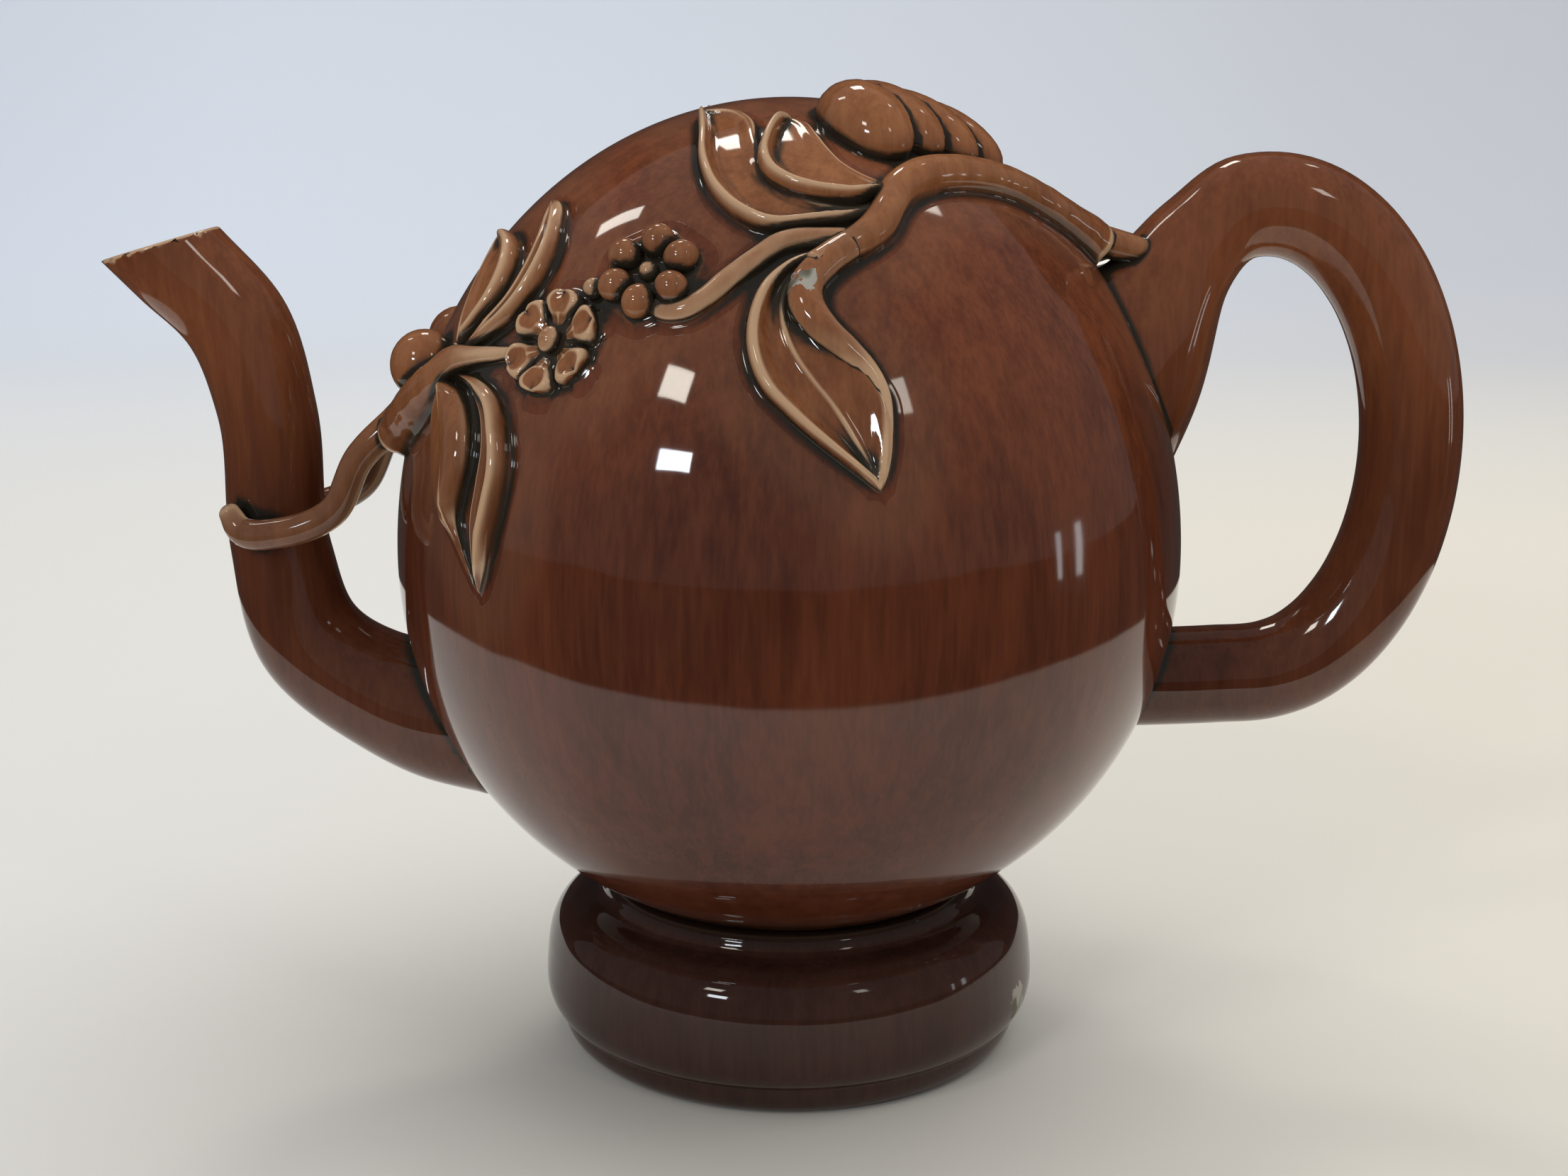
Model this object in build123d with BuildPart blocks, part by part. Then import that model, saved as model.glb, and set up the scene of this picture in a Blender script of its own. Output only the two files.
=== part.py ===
from build123d import *
from math import asin, cos, degrees, hypot, pi, radians, sin
import os

# Driving dimensions, in millimetres and degrees
# The pot stands on z = 0, its handle towards +X and its spout towards -X
crown_z = 149.5
belly_z = 80.0
belly_radius = 61.1
under_depth = 60.3
body_wall = 4.0
neck_z = 26.0
overhang = 44.2

# Foot
base_radius = 34.6
rim_width = 6.6
skirt_radius = 40.5
skirt_z = 12.5
shoulder_radius = 37.1
shoulder_z = 22.0
ledge_radius = 33.0
ledge_z = 24.6
recess_depth = 12.0
recess_top_radius = 24.0
floor_thickness = 6.0

# Filling tube, straight at its mouth and then tapering almost to the crown
filling_bore_radius = 9.0
tube_wall = 3.0
straight_length = 28.0
tube_end_bore_radius = 5.5
tube_crown_gap = 22.0

# Spout
spout_wall = 2.4
spout_root_inset = 11.1
spout_root_z = 52.0
spout_root_depth = 25.0
spout_root_width = 24.0
spout_bend_gap = 4.4
spout_upright_gap = 19.9
spout_upright_z = 90.0
spout_depth = 15.0
spout_width = 15.0
beak = 10.1
mouth_z = 128.0
mouth_slant = 16.3
mouth_depth = 17.0
mouth_width = 15.5
spout_hole_radius = 5.0

# Handle, an upright oval loop with a level lower end and a flared upper end
loop_z = 96.5
loop_half_length = 24.0
loop_half_height = 37.0
handle_thickness = 15.8
handle_width = 15.0
handle_root_inset = 13.1
flare_gap = 1.7
flare_z = 127.3
flare_fall = 35.0
flare_middle_inset = 4.5
flare_middle_z = 114.5
flare_middle_thickness = 28.0
flare_middle_width = 23.0
flare_root_inset = 12.1
flare_root_z = 106.0
flare_root_thickness = 40.0
flare_root_width = 30.0

# Applied sprigs
branch_radius = 3.0
stem_radius = 1.5
twig_radius = 2.5
leaf_thickness = 2.6
curl_thickness = 3.6
berry_radius = 2.3
berry_gap = 0.15
berry_count = 6
bud_radius = 1.5
bud_around = 7.6
bud_down = 2.9
petal_radius = 3.6
petal_ring_radius = 5.0
petal_count = 6
boss_radius = 2.3
side_fruit_radius = 5.3
lobe_half_length = 10.0
lobe_radius = 5.2
berry_seat = 0.6
petal_sink = 0.8

# Worked out from the sizes above, reach being that of the beak and of the handle's outside alike
crown_rise = crown_z - belly_z
reach = belly_radius + overhang
mouth_out = reach - beak
spout_root_out = belly_radius - spout_root_inset
spout_bend_out = belly_radius + spout_bend_gap
spout_upright_out = belly_radius + spout_upright_gap
handle_root_out = belly_radius - handle_root_inset
flare_out = belly_radius + flare_gap
flare_middle_out = belly_radius - flare_middle_inset
flare_root_out = belly_radius - flare_root_inset
loop_out = reach - loop_half_length - handle_thickness / 2
outline_steps = 6
section_steps = 8
leaf_pull = 15.0


# Places on the body are a bearing from the handle and a rise above the belly
def on_body(place, lift=0.0):
    """Point that stands lift above the body's skin."""
    bearing, rise = radians(place[0]), radians(place[1])
    height = crown_rise if rise > 0 else under_depth
    out = (belly_radius + lift) * cos(rise)
    return Vector(out * cos(bearing), out * sin(bearing), belly_z + (height + lift) * sin(rise))


def lying_on_body(place, lift=0.0):
    """Plane that lies on the skin, its x axis down the slope of the body."""
    bearing, rise = radians(place[0]), radians(place[1])
    down = Vector(
        belly_radius * sin(rise) * cos(bearing),
        belly_radius * sin(rise) * sin(bearing),
        -crown_rise * cos(rise),
    )
    around = Vector(-sin(bearing), cos(bearing), 0)
    return Plane(origin=on_body(place, lift), x_dir=down, z_dir=down.cross(around))


def on_side(place, side):
    """The same place on the front, side -1, or mirrored to the back, side 1."""
    return (place[0] * side, place[1])


def beside(place, around, down):
    """Place on the upper body that lies around and down from another by lengths on the skin."""
    rise = radians(place[1])
    slope = hypot(belly_radius * sin(rise), crown_rise * cos(rise))
    return (place[0] + degrees(around / (belly_radius * cos(rise))), place[1] - degrees(down / slope))


def oval_arc(out_size, up_size, start, end):
    """Stretch of the body's oval outline between two angles, level with the belly at 0."""
    angles = [radians(start + (end - start) * step / outline_steps) for step in range(outline_steps + 1)]
    points = [(out_size * cos(angle), belly_z + up_size * sin(angle)) for angle in angles]
    ends = [(-out_size * sin(angle), up_size * cos(angle)) for angle in (angles[0], angles[-1])]
    return Spline(*points, tangents=ends)


def body_form(growth=0.0):
    """Solid egg of the body's outside, swollen evenly by growth."""
    with BuildPart() as form:
        with BuildSketch(Plane.XZ):
            with BuildLine():
                oval_arc(belly_radius + growth, under_depth + growth, -90, 0)
                oval_arc(belly_radius + growth, crown_rise + growth, 0, 90)
                Line((0, crown_z + growth), (0, belly_z - under_depth - growth))
            make_face()
        revolve(axis=Axis.Z)
    return form.part


body_outside = body_form()


# The two halves of the body meet at the belly
with BuildPart() as body_upper_shell:
    with BuildSketch(Plane.XZ):
        with BuildLine():
            oval_arc(belly_radius, crown_rise, 0, 90)
            Line((0, crown_z), (0, crown_z - body_wall))
            oval_arc(belly_radius - body_wall, crown_rise - body_wall, 0, 90)
            Line((belly_radius - body_wall, belly_z), (belly_radius, belly_z))
        make_face()
    revolve(axis=Axis.Z)

with BuildPart() as body_lower_shell:
    with BuildSketch(Plane.XZ):
        with BuildLine():
            oval_arc(belly_radius, under_depth, -90, 0)
            Line((belly_radius, belly_z), (belly_radius - body_wall, belly_z))
            oval_arc(belly_radius - body_wall, under_depth - body_wall, -90, 0)
            Line((0, belly_z - under_depth), (0, belly_z - under_depth + body_wall))
        make_face()
    revolve(axis=Axis.Z)
    split(bisect_by=Plane.XY.offset(neck_z), keep=Keep.TOP)
    with BuildSketch(Plane(origin=(-belly_radius, 0, spout_root_z), z_dir=(1, 0, 0))):
        Circle(spout_hole_radius)
    extrude(amount=belly_radius / 2, mode=Mode.SUBTRACT)


def tube_section(width, thickness):
    """Oval section whose outline always starts at the same side, for lofts that don't twist."""
    angles = [2 * pi * step / section_steps for step in range(section_steps)]
    Spline(*[(width / 2 * cos(angle), thickness / 2 * sin(angle)) for angle in angles], periodic=True)


# Spout: its stations run from the root inside the body up to the slanted mouth
spout_stations = (
    (spout_root_out, spout_root_z, 2, spout_root_depth, spout_root_width),
    (spout_bend_out, spout_root_z + 4.5, 25, 0.78 * spout_root_depth, 0.8 * spout_root_width),
    (spout_upright_out - 4.5, spout_upright_z - 25, 58, 1.17 * spout_depth, 1.1 * spout_width),
    (spout_upright_out - 0.5, spout_upright_z - 10, 87, 1.04 * spout_depth, spout_width),
    (spout_upright_out + 0.6, spout_upright_z + 12, 86, 1.02 * spout_depth, spout_width),
    (spout_upright_out + 4.6, mouth_z - 12.5, 66, 1.08 * spout_depth, spout_width),
    (mouth_out - 1.5, mouth_z - 3.5, 50, 0.97 * mouth_depth, mouth_width),
    (mouth_out + 4.0, mouth_z + 2.5, 46, mouth_depth, mouth_width),
)


def spout_tube(inset):
    """Loft along the spout, inset from its outside by a wall."""
    with BuildPart() as tube:
        for out, up, climb, depth, width in spout_stations:
            heading = Vector(-cos(radians(climb)), 0, sin(radians(climb)))
            with BuildSketch(Plane(origin=(-out, 0, up), x_dir=(0, 1, 0), z_dir=heading)):
                with BuildLine():
                    tube_section(width - 2 * inset, depth - 2 * inset)
                make_face()
        loft()
    return tube.part


spout_channel = spout_tube(spout_wall)
mouth_plane = Plane(
    origin=(-mouth_out, 0, mouth_z),
    x_dir=(0, 1, 0),
    z_dir=(-sin(radians(mouth_slant)), 0, cos(radians(mouth_slant))),
)

with BuildPart() as spout:
    add(spout_tube(0))
    add(spout_channel, mode=Mode.SUBTRACT)
    add(body_outside, mode=Mode.SUBTRACT)
    split(bisect_by=mouth_plane, keep=Keep.BOTTOM)


# Foot: a spreading skirt with a ledge under the belly, hollow below its floor
def radius_at(height, wall=0.0):
    """Radius of the lower body, less a wall, at a height."""
    share = (belly_z - height) / (under_depth - wall)
    return (belly_radius - wall) * cos(asin(share))


neck_radius = radius_at(neck_z)
chamber_neck_radius = radius_at(neck_z, body_wall)
tube_radius = filling_bore_radius + tube_wall
floor_top_z = recess_depth + floor_thickness

with BuildPart() as foot_ring:
    with BuildSketch(Plane.XZ):
        with BuildLine():
            Line((base_radius - rim_width, 0), (base_radius, 0))
            Spline(
                (base_radius, 0),
                (skirt_radius - 1.0, skirt_z / 2),
                (skirt_radius, skirt_z),
                (shoulder_radius, shoulder_z),
                (ledge_radius, ledge_z),
            )
            Polyline(
                (ledge_radius, ledge_z),
                (neck_radius, ledge_z),
                (neck_radius, neck_z),
                (chamber_neck_radius, neck_z),
                (chamber_neck_radius, floor_top_z),
                (tube_radius, floor_top_z),
                (tube_radius, recess_depth),
                (recess_top_radius, recess_depth),
                (base_radius - rim_width, 0),
            )
        make_face()
    revolve(axis=Axis.Z)


# Filling tube: its mouth is flush with the underside of the foot's floor
taper_start_z = recess_depth + straight_length
tube_top_z = crown_z - tube_crown_gap

with BuildPart() as filling_tube:
    with BuildSketch(Plane.XZ):
        with BuildLine():
            Polyline(
                (filling_bore_radius, recess_depth),
                (tube_radius, recess_depth),
                (tube_radius, taper_start_z),
                (tube_end_bore_radius + tube_wall, tube_top_z),
                (tube_end_bore_radius, tube_top_z),
                (filling_bore_radius, taper_start_z),
                (filling_bore_radius, recess_depth),
            )
        make_face()
    revolve(axis=Axis.Z)


# Handle: level at its lower root, round the loop, then flared on to the shoulder
def loop_station(turn):
    """Place and heading on the oval loop, turn measured from its outermost point."""
    angle = radians(turn)
    place = (loop_out + loop_half_length * cos(angle), 0, loop_z + loop_half_height * sin(angle))
    heading = (-loop_half_length * sin(angle), 0, loop_half_height * cos(angle))
    return place, heading, handle_thickness, handle_width


def falling(slope):
    """Heading towards the body that falls by a slope in degrees."""
    return (-cos(radians(slope)), 0, -sin(radians(slope)))


lower_z = loop_z - loop_half_height
handle_stations = [
    ((handle_root_out, 0, lower_z - 1.0), (1, 0, 0), handle_thickness, handle_width),
    ((loop_out - 0.5 * loop_half_length, 0, lower_z - 0.5), (1, 0, 0), handle_thickness, handle_width),
    *[loop_station(turn) for turn in (-75, -45, -15, 15, 45, 70, 92)],
    ((flare_out, 0, flare_z), falling(flare_fall), 1.05 * handle_thickness, 1.1 * handle_width),
    (
        (flare_middle_out, 0, flare_middle_z),
        falling(0.8 * flare_fall),
        flare_middle_thickness,
        flare_middle_width,
    ),
    ((flare_root_out, 0, flare_root_z), falling(0.66 * flare_fall), flare_root_thickness, flare_root_width),
]

with BuildPart() as handle:
    for place, heading, thickness, width in handle_stations:
        with BuildSketch(Plane(origin=place, x_dir=(0, 1, 0), z_dir=heading)):
            with BuildLine():
                tube_section(width, thickness)
            make_face()
    loft()
    add(body_outside, mode=Mode.SUBTRACT)


# Applied sprigs, each pressed on to the body and against the pieces it meets
def main_piece(shape):
    """The largest solid of a cut shape."""
    return shape.solids().sort_by(SortBy.VOLUME)[-1]


def applied_leaf(side, one_edge, other_edge, thickness, against=()):
    """Leaf that follows the body, between two edges that share its base and its tip."""
    places = [on_side(place, side) for place in (*one_edge, *other_edge[1:-1])]
    middle = [sum(values) / len(places) for values in zip(*places)]
    lie = lying_on_body(middle)
    edges = [[lie.to_local_coords(on_body(on_side(place, side))) for place in edge] for edge in (one_edge, other_edge)]
    with BuildPart() as leaf:
        with BuildSketch(lie):
            with BuildLine():
                for edge in edges:
                    Spline(*[(point.X, point.Y) for point in edge])
            make_face()
        extrude(amount=leaf_pull, both=True)
        add(body_form(thickness), mode=Mode.INTERSECT)
        add(body_outside, mode=Mode.SUBTRACT)
        for piece in against:
            add(piece, mode=Mode.SUBTRACT)
    return main_piece(leaf.part)


def applied_limb(points, radii, against=()):
    """Round tapering limb through points, cut where it meets the pot and the pieces beside it."""
    headings = [
        points[min(index + 1, len(points) - 1)] - points[max(index - 1, 0)] for index in range(len(points))
    ]
    with BuildPart() as limb:
        for point, heading, radius in zip(points, headings, radii):
            upward = Vector(point.X, point.Y, point.Z - belly_z)
            with BuildSketch(Plane(origin=point, x_dir=upward, z_dir=heading)):
                Circle(radius)
        loft()
        for piece in (body_outside, *against):
            add(piece, mode=Mode.SUBTRACT)
    return main_piece(limb.part)


def limb_along(side, course, radius, end_radius, against=()):
    """Limb that lies on the body along a course of places."""
    points = [on_body(on_side(place, side), 0.4 * radius) for place in course]
    share = [index / (len(course) - 1) for index in range(len(course))]
    radii = [radius + (end_radius - radius) * part for part in share]
    return applied_limb(points, radii, against)


def cluster(side, place, ring_radius, count, radius, lift, against=()):
    """Ring of balls round a place on the body."""
    with BuildPart() as ring:
        with Locations(lying_on_body(on_side(place, side), lift)):
            with PolarLocations(ring_radius, count):
                Sphere(radius)
        for piece in (body_outside, *against):
            add(piece, mode=Mode.SUBTRACT)
    return ring.part


def ball(side, place, radius, lift, against=()):
    """Single ball pressed on to the body."""
    with BuildPart() as single:
        with Locations(lying_on_body(on_side(place, side), lift)):
            Sphere(radius)
        for piece in (body_outside, *against):
            add(piece, mode=Mode.SUBTRACT)
    return main_piece(single.part)


# Ribbed fruit on the crown, four long lobes side by side
lobe_places = ((58, 69), (44, 71), (31, 69.5), (20, 66.5))

with BuildPart() as crown_fruit:
    for lobe_place in lobe_places:
        lobe_lie = lying_on_body(on_side(lobe_place, -1))
        with BuildSketch(lobe_lie):
            with BuildLine():
                Spline(
                    (lobe_half_length, 0),
                    (0.7 * lobe_half_length, 0.7 * lobe_radius),
                    (0, lobe_radius),
                    (-0.7 * lobe_half_length, 0.7 * lobe_radius),
                    (-lobe_half_length, 0),
                    tangents=((0, 1), (0, -1)),
                )
                Line((-lobe_half_length, 0), (lobe_half_length, 0))
            make_face()
        revolve(axis=Axis(lobe_lie.origin, lobe_lie.x_dir))
    add(body_outside, mode=Mode.SUBTRACT)

pieces = {
    "body_lower_shell": body_lower_shell.part,
    "body_upper_shell": body_upper_shell.part,
    "foot_ring": foot_ring.part,
    "filling_tube": filling_tube.part,
    "spout": spout.part,
    "handle": handle.part,
    "crown_fruit": main_piece(crown_fruit.part),
}

for side_name, side in (("front", -1), ("back", 1)):
    branch = limb_along(
        side,
        ((6, 44.5), (12, 48.5), (22, 51.5), (34, 55.5), (50, 56.5), (61, 55.5), (70, 52), (74, 47.5), (80, 46)),
        branch_radius,
        0.7 * branch_radius,
        (handle.part, crown_fruit.part),
    )
    branch_end = on_body(on_side((7, 45), side), 0.4 * branch_radius)
    branch_tie = on_body(on_side((5, 38), side), 2.5 * branch_radius)
    handle_twig = applied_limb(
        [branch_end, branch_end + (branch_tie - branch_end) * 0.5, branch_tie],
        [twig_radius, 0.9 * twig_radius, 0.8 * twig_radius],
        (branch, handle.part),
    )
    berry_stem = limb_along(
        side,
        ((79, 46.5), (91, 47), (98, 44), (102, 41), (105, 39)),
        stem_radius,
        0.8 * stem_radius,
        (branch,),
    )
    berry_ring_radius = (berry_radius + berry_gap / 2) / sin(pi / berry_count)
    berry_place = (114, 41.5)
    berries = cluster(
        side, berry_place, berry_ring_radius, berry_count, berry_radius, berry_seat * berry_radius
    )
    berry_heart = ball(side, berry_place, berry_radius, berry_seat * berry_radius, (berries,))
    bud_place = beside(berry_place, bud_around, bud_down)
    bud = ball(side, bud_place, bud_radius, berry_seat * bud_radius, (berries,))
    draped_leaf = applied_leaf(
        side,
        ((84, 45), (92, 42), (96.5, 36), (93.5, 28), (79, 17)),
        ((79, 17), (76.5, 25), (79, 34), (84, 45)),
        leaf_thickness,
        (branch, berry_stem),
    )
    rolled_leaf = applied_leaf(
        side,
        ((67, 54.5), (80, 55), (92, 57.5), (95, 65), (92, 74)),
        ((92, 74), (82, 62), (67, 54.5)),
        curl_thickness,
        (branch, berry_stem),
    )
    upper_leaf = applied_leaf(
        side,
        ((70, 52.5), (86, 49.5), (103, 53), (118, 62), (138, 72)),
        ((138, 72), (104, 66), (88, 56), (70, 52.5)),
        leaf_thickness,
        (branch, berry_stem, rolled_leaf),
    )
    flower_place = (128, 32)
    flower_boss = ball(side, flower_place, boss_radius, berry_seat * boss_radius)
    flower = main_piece(
        cluster(
            side, flower_place, petal_ring_radius, petal_count, petal_radius, -petal_sink, (flower_boss, bud)
        )
    )
    spout_branch = limb_along(
        side,
        ((168, 17), (160, 21), (152, 26.5), (145, 30), (136, 31)),
        branch_radius,
        0.5 * branch_radius,
        (flower, flower_boss),
    )
    side_leaf = applied_leaf(
        side,
        ((153, 30), (160, 37), (166, 45)),
        ((166, 45), (153, 43), (148.5, 37), (153, 30)),
        leaf_thickness,
        (spout_branch,),
    )
    crescent_leaf = applied_leaf(
        side,
        ((149, 31), (147, 38), (148, 45), (156, 52)),
        ((156, 52), (141, 45), (138.5, 38), (149, 31)),
        curl_thickness,
        (spout_branch, side_leaf, flower),
    )
    side_fruit = ball(side, (162, 26), side_fruit_radius, 0.35 * side_fruit_radius, (spout_branch, side_leaf))
    hanging_leaf = applied_leaf(
        side,
        ((151, 25), (149, 18), (143, 10), (134, 3)),
        ((134, 3), (131, 14), (137, 24), (151, 25)),
        leaf_thickness,
        (spout_branch, flower),
    )
    twig_start = on_body(on_side((169, 17), side), 0.4 * twig_radius)
    twig_end = Vector(-spout_upright_out - 2.5, side * (spout_width / 2 + 0.3 * twig_radius), spout_upright_z - 5)
    twig_middle = (twig_start + twig_end) * 0.5 + Vector(2.0, side * 0.4 * twig_radius, -4.0)
    spout_twig = applied_limb(
        [twig_start, twig_middle, twig_end],
        [twig_radius, 0.95 * twig_radius, 0.8 * twig_radius],
        (spout.part, spout_branch),
    )
    side_pieces = {
        "main_branch": branch,
        "handle_twig": handle_twig,
        "berry_stem": berry_stem,
        "berries": berries,
        "berry_heart": berry_heart,
        "bud": bud,
        "draped_leaf": draped_leaf,
        "upper_leaf": upper_leaf,
        "rolled_leaf": rolled_leaf,
        "flower": flower,
        "flower_boss": flower_boss,
        "spout_branch": spout_branch,
        "side_leaf": side_leaf,
        "crescent_leaf": crescent_leaf,
        "side_fruit": side_fruit,
        "hanging_leaf": hanging_leaf,
        "spout_twig": spout_twig,
    }
    pieces.update({f"{side_name}_{name}": piece for name, piece in side_pieces.items()})

os.makedirs("parts", exist_ok=True)
for name, piece in pieces.items():
    piece.label = name
    export_step(piece, f"parts/{name}.step")
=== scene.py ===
import math
import bpy
import bmesh
from mathutils import Matrix, Vector, noise
from mathutils.bvhtree import BVHTree

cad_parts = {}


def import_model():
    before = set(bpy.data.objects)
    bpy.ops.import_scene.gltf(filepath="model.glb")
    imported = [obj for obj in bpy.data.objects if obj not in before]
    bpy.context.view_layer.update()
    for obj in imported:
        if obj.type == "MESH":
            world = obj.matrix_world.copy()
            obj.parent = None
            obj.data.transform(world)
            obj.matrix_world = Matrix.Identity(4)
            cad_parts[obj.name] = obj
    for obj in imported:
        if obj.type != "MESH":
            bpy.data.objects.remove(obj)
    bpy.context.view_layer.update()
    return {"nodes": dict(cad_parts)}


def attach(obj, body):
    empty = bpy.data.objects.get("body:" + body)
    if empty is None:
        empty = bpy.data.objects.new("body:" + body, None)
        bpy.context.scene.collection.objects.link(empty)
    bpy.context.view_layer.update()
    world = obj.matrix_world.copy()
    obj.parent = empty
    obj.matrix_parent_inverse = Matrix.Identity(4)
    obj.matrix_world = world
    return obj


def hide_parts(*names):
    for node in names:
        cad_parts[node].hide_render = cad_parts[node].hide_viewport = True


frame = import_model()
print("frame loaded,", len(frame["nodes"]), "nodes")

mm = 0.001
pot = {
    "bellyRadius": 61.1,
    "bellyHeight": 80.0,
    "domeHeight": 69.5,
    "underDepth": 60.3,
    "wall": 4.0,
    "neckHeight": 26.0,
    "turns": 448,  # faces round the body
    "rows": 120,  # faces from the belly up to the crown
}
front, back = -1, 1


# places on the pot are a bearing from the handle and a rise above the belly, in degrees
def onPot(bearing, rise, side=front, lift=0.0):
    turn, climb = math.radians(bearing), math.radians(rise)
    tall = pot["domeHeight"] if rise >= 0 else pot["underDepth"]
    wide = pot["bellyRadius"] * math.cos(climb)
    point = Vector((wide * math.cos(turn), side * wide * math.sin(turn), tall * math.sin(climb)))
    outward = Vector((point.x, point.y, point.z * (pot["bellyRadius"] / tall) ** 2)).normalized()
    return (point + Vector((0, 0, pot["bellyHeight"])) + outward * lift) * mm


def outwardAt(point):
    local = point / mm - Vector((0, 0, pot["bellyHeight"]))
    tall = pot["domeHeight"] if local.z >= 0 else pot["underDepth"]
    return Vector((local.x, local.y, local.z * (pot["bellyRadius"] / tall) ** 2)).normalized()


def ontoPot(point, lift=0.0):  # slides any nearby point on to the skin, then raises it
    local = point / mm - Vector((0, 0, pot["bellyHeight"]))
    tall = pot["domeHeight"] if local.z >= 0 else pot["underDepth"]
    share = math.sqrt((local.x ** 2 + local.y ** 2) / pot["bellyRadius"] ** 2 + (local.z / tall) ** 2)
    skin = (local / share + Vector((0, 0, pot["bellyHeight"]))) * mm
    return skin + outwardAt(skin) * lift * mm


def heightOverPot(point):
    return (point - ontoPot(point)).dot(outwardAt(point)) / mm


# a smooth line through rows of numbers, the first three of them a place in metres
def smoothLine(rows, count):
    last = len(rows) - 1
    gaps = [max((Vector(b[:3]) - Vector(a[:3])).length, 1e-7) for a, b in zip(rows, rows[1:])]
    slopes = []
    for index, row in enumerate(rows):
        before, after = max(index - 1, 0), min(index, last - 1)
        early = [(b - a) / gaps[before] for a, b in zip(rows[before], rows[before + 1])]
        late = [(b - a) / gaps[after] for a, b in zip(rows[after], rows[after + 1])]
        share = gaps[before] / (gaps[before] + gaps[after])
        slopes.append([a + (b - a) * share for a, b in zip(early, late)])
    fine = []
    for index, gap in enumerate(gaps):
        for step in range(16):
            t = step / 16
            fine.append([
                a * (2 * t ** 3 - 3 * t * t + 1) + b * (3 * t * t - 2 * t ** 3)
                + gap * (c * (t ** 3 - 2 * t * t + t) + d * (t ** 3 - t * t))
                for a, b, c, d in zip(rows[index], rows[index + 1], slopes[index], slopes[index + 1])
            ])
    fine.append(list(rows[-1]))
    lengths = [0.0]
    for one, other in zip(fine, fine[1:]):
        lengths.append(lengths[-1] + (Vector(other[:3]) - Vector(one[:3])).length)
    line = []
    place = 0
    for step in range(count):
        target = lengths[-1] * step / (count - 1)
        while place < len(fine) - 2 and lengths[place + 1] < target:
            place += 1
        gap = max(lengths[place + 1] - lengths[place], 1e-9)
        share = min(max((target - lengths[place]) / gap, 0.0), 1.0)
        line.append([a + (b - a) * share for a, b in zip(fine[place], fine[place + 1])])
    return line, lengths[-1]


def easing(value, low, high):
    share = min(max((value - low) / (high - low), 0.0), 1.0)
    return share * share * (3 - 2 * share)


def finishMesh(bm, name, faceOut=True, crisp=180):
    bmesh.ops.remove_doubles(bm, verts=bm.verts[:], dist=2e-6)
    if faceOut:
        bmesh.ops.recalc_face_normals(bm, faces=bm.faces[:])
    for face in bm.faces:
        face.smooth = True
    for edge in bm.edges:
        edge.smooth = edge.calc_face_angle(0.0) < math.radians(crisp)
    mesh = bpy.data.meshes.new(name)
    bm.to_mesh(mesh)
    bm.free()
    piece = bpy.data.objects.new(name, mesh)
    bpy.context.scene.collection.objects.link(piece)
    return piece


# a closed piece of clay: a grid rolled up so that each row of it lies on one ring
def skinOver(rings, name):
    around, along = len(rings[0]), len(rings)
    bm = bmesh.new()
    bmesh.ops.create_grid(bm, x_segments=around, y_segments=along - 1, size=1.0)
    for vert in bm.verts:
        column = round((vert.co.x + 1) / 2 * around) % around
        row = round((vert.co.y + 1) / 2 * (along - 1))
        vert.co = rings[row][column]
    return finishMesh(bm, name)


def joinInto(parts, name):
    bm = bmesh.new()
    for part in parts:
        bm.from_mesh(part.data)
        mesh = part.data
        bpy.data.objects.remove(part)
        bpy.data.meshes.remove(mesh)
    return finishMesh(bm, name, faceOut=False)


pieces = {}


def settle(piece, node):  # files a piece under the node it stands for
    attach(piece, "root")
    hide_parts(node)
    pieces[node] = piece


# body, foot: turned forms, each from one closed outline
def turned(outline, name, turns):
    bm = bmesh.new()
    verts = [bm.verts.new((radius * mm, 0, height * mm)) for radius, height in outline]
    edges = [bm.edges.new(pair) for pair in zip(verts, verts[1:] + verts[:1])]
    bmesh.ops.spin(
        bm, geom=verts + edges, cent=(0, 0, 0), axis=(0, 0, 1), angle=math.tau, steps=turns, use_merge=True
    )
    return finishMesh(bm, name, crisp=40)


def ovalOutline(wide, tall, low, high, steps):
    angles = [math.radians(low + (high - low) * step / steps) for step in range(steps + 1)]
    return [(wide * math.cos(angle), pot["bellyHeight"] + tall * math.sin(angle)) for angle in angles]


inner = pot["bellyRadius"] - pot["wall"]
upperOutline = ovalOutline(pot["bellyRadius"], pot["domeHeight"], 0, 90, pot["rows"])
upperOutline += reversed(ovalOutline(inner, pot["domeHeight"] - pot["wall"], 0, 90, 24))
settle(turned(upperOutline, "upperShell", pot["turns"]), "body_upper_shell")


def neckAngle(depth):
    return math.degrees(math.asin((pot["neckHeight"] - pot["bellyHeight"]) / depth))


innerDepth = pot["underDepth"] - pot["wall"]
lowerOutline = ovalOutline(pot["bellyRadius"], pot["underDepth"], neckAngle(pot["underDepth"]), 0, 60)
lowerOutline += reversed(ovalOutline(inner, innerDepth, neckAngle(innerDepth), 0, 24))
settle(turned(lowerOutline, "lowerShell", pot["turns"]), "body_lower_shell")

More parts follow.
